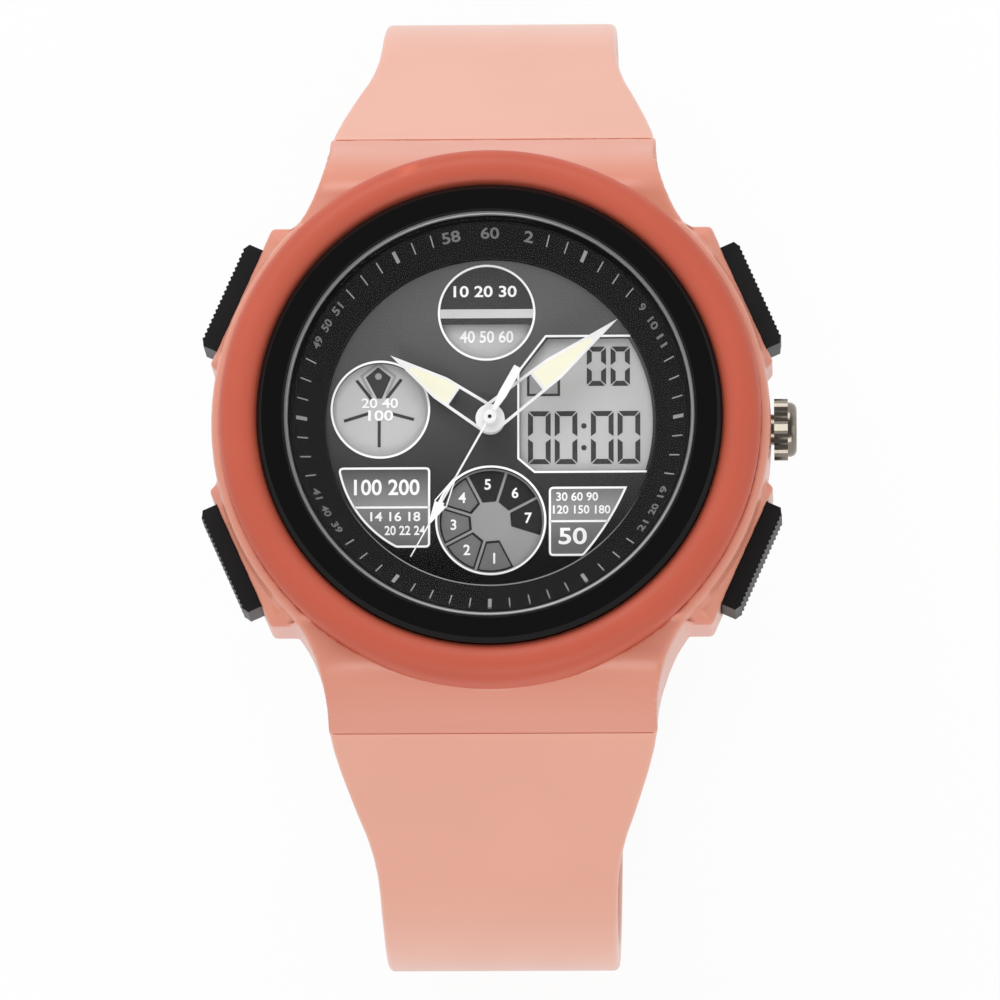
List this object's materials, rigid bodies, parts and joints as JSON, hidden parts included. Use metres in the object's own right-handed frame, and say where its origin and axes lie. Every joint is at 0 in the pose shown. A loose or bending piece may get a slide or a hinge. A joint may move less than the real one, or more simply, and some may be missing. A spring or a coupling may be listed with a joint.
{
  "type": "wristwatch",
  "caption": "Round analogue and digital wristwatch with guarded pushers, a crown and a buckled resin strap, standing on its closed strap loop.",
  "frame": {"origin": "under the dial's axis, on the flat foot of the fixed keeper, where the closed strap rests on a table", "axes": "+Z out of the dial, +X towards 3 o'clock and the crown, +Y towards 12 o'clock"},
  "size_m": [0.0501, 0.083, 0.062],
  "materials": {
    "case_resin": "satin moulded resin",
    "bezel_resin": "satin moulded resin",
    "strap_resin": "matt soft resin",
    "ring_black": "polished black",
    "crystal": "clear mineral glass",
    "seal_rubber": "soft black",
    "chapter_black": "satin black with pale marks",
    "dial_grey": "satin grey, printed",
    "display": "grey liquid crystal film",
    "backlight": "pale film",
    "steel_brushed": "brushed steel",
    "steel_polished": "polished steel",
    "hand_silver": "white satin",
    "lume": "cream luminous paint",
    "pusher_black": "ribbed black resin",
    "module_plastic": "moulded plastic",
    "board": "lacquered board",
    "chip": "moulded cover",
    "cell": "steel cell",
    "wheel_brass": "cut brass",
    "coil_copper": "wound copper wire",
    "motor_steel": "soft iron"
  },
  "bodies": {
    "root": {"case_body": "case_resin", "bezel": "bezel_resin", "strap_upper": "strap_resin", "strap_lower": "strap_resin", "fixed_keeper": "strap_resin", "crystal_ring": "ring_black", "crystal_glass": "crystal", "crystal_gasket": "seal_rubber", "case_back_gasket": "seal_rubber", "crown_gasket": "seal_rubber", "pusher_seals": "seal_rubber", "conductive_strips": "seal_rubber", "chapter_ring": "chapter_black", "dial_plate": "dial_grey", "lcd_panel": "display", "backlight_panel": "backlight", "case_back": "steel_brushed", "battery_clamp": "steel_brushed", "button_contacts": "steel_brushed", "pusher_springs": "steel_brushed", "strap_pins": "steel_brushed", "buckle_pin": "steel_brushed", "case_back_screws": "steel_polished", "module_frame": "module_plastic", "circuit_board": "board", "chip_cover": "chip", "battery": "cell", "quartz_can": "cell", "movement_plate": "wheel_brass", "train_bridge": "wheel_brass", "buzzer_disc": "wheel_brass", "motor_coil": "coil_copper", "motor_stator": "motor_steel"},
    "second_body": {"second_hand": "hand_silver", "second_wheel": "wheel_brass"},
    "minute_body": {"minute_hand": "hand_silver", "minute_lume": "lume", "centre_wheel": "wheel_brass"},
    "hour_body": {"hour_hand": "hand_silver", "hour_lume": "lume", "hour_wheel": "wheel_brass"},
    "third_body": {"third_wheel": "wheel_brass"},
    "motion_body": {"minute_wheel": "wheel_brass"},
    "fifth_body": {"fifth_wheel": "wheel_brass"},
    "rotor_body": {"rotor": "motor_steel"},
    "setting_body": {"setting_yoke": "steel_brushed"},
    "crown_body": {"crown": "steel_polished", "crown_stem": "steel_brushed"},
    "buckle_body": {"buckle_frame": "steel_polished"},
    "tongue_body": {"buckle_tongue": "steel_polished"},
    "slider_body": {"sliding_keeper": "strap_resin"},
    "pusher_start_body": {"pusher_start": "pusher_black", "pusher_clip_start": "steel_brushed"},
    "pusher_light_body": {"pusher_light": "pusher_black", "pusher_clip_light": "steel_brushed"},
    "pusher_mode_body": {"pusher_mode": "pusher_black", "pusher_clip_mode": "steel_brushed"},
    "pusher_reset_body": {"pusher_reset": "pusher_black", "pusher_clip_reset": "steel_brushed"}
  },
  "joints": [
    {"name": "second_turn", "type": "hinge", "parent": "root", "child": "second_body", "pos_m": [0, 0, 0.053], "axis": [0, 0, 1], "continuous": true},
    {"name": "minute_turn", "type": "hinge", "parent": "root", "child": "minute_body", "pos_m": [0, 0, 0.053], "axis": [0, 0, 1], "continuous": true},
    {"name": "hour_turn", "type": "hinge", "parent": "root", "child": "hour_body", "pos_m": [0, 0, 0.053], "axis": [0, 0, 1], "continuous": true},
    {"name": "third_turn", "type": "hinge", "parent": "root", "child": "third_body", "pos_m": [-0.00288, -0.00105, 0.053], "axis": [0, 0, 1], "continuous": true},
    {"name": "motion_turn", "type": "hinge", "parent": "root", "child": "motion_body", "pos_m": [0.0015, -0.0026, 0.053], "axis": [0, 0, 1], "continuous": true},
    {"name": "fifth_turn", "type": "hinge", "parent": "root", "child": "fifth_body", "pos_m": [0.00138, 0.00239, 0.053], "axis": [0, 0, 1], "continuous": true},
    {"name": "rotor_turn", "type": "hinge", "parent": "root", "child": "rotor_body", "pos_m": [0.00138, 0.00477, 0.053], "axis": [0, 0, 1], "continuous": true},
    {"name": "crown_pull", "type": "slide", "parent": "root", "child": "setting_body", "axis": [1, 0, 0], "range_m": [0, 0.001]},
    {"name": "crown_turn", "type": "hinge", "parent": "setting_body", "child": "crown_body", "pos_m": [0.02, 0, 0.053], "axis": [1, 0, 0], "continuous": true},
    {"name": "press_start", "type": "slide", "parent": "root", "child": "pusher_start_body", "axis": [-0.9135, -0.4067, 0], "range_m": [0, 0.0008], "stiffness_N_per_m": 1200, "springref_m": -0.0003, "deforming": ["pusher_springs"]},
    {"name": "press_light", "type": "slide", "parent": "root", "child": "pusher_light_body", "axis": [0.9135, -0.4067, 0], "range_m": [0, 0.0008], "stiffness_N_per_m": 1200, "springref_m": -0.0003, "deforming": ["pusher_springs"]},
    {"name": "press_mode", "type": "slide", "parent": "root", "child": "pusher_mode_body", "axis": [0.9135, 0.4067, 0], "range_m": [0, 0.0008], "stiffness_N_per_m": 1200, "springref_m": -0.0003, "deforming": ["pusher_springs"]},
    {"name": "press_reset", "type": "slide", "parent": "root", "child": "pusher_reset_body", "axis": [-0.9135, 0.4067, 0], "range_m": [0, 0.0008], "stiffness_N_per_m": 1200, "springref_m": -0.0003, "deforming": ["pusher_springs"]},
    {"name": "buckle_swing", "type": "hinge", "parent": "root", "child": "buckle_body", "pos_m": [0, -0.0065, 0.00497], "axis": [1, 0, 0], "range_deg": [0, 3]},
    {"name": "tongue_swing", "type": "hinge", "parent": "root", "child": "tongue_body", "pos_m": [0, -0.0065, 0.00497], "axis": [1, 0, 0], "range_deg": [0, 3]},
    {"name": "keeper_slide", "type": "slide", "parent": "root", "child": "slider_body", "axis": [0, 1, 0], "range_m": [-0.003, 0.004]}
  ],
  "couplings": [
    {"joint": "third_turn", "follows": "second_turn", "ratio": -0.13333},
    {"joint": "minute_turn", "follows": "second_turn", "ratio": 0.016667},
    {"joint": "motion_turn", "follows": "second_turn", "ratio": -0.0055556},
    {"joint": "hour_turn", "follows": "second_turn", "ratio": 0.0013889},
    {"joint": "fifth_turn", "follows": "second_turn", "ratio": -5},
    {"joint": "rotor_turn", "follows": "second_turn", "ratio": 30},
    {"joint": "tongue_swing", "follows": "buckle_swing", "ratio": 1}
  ]
}
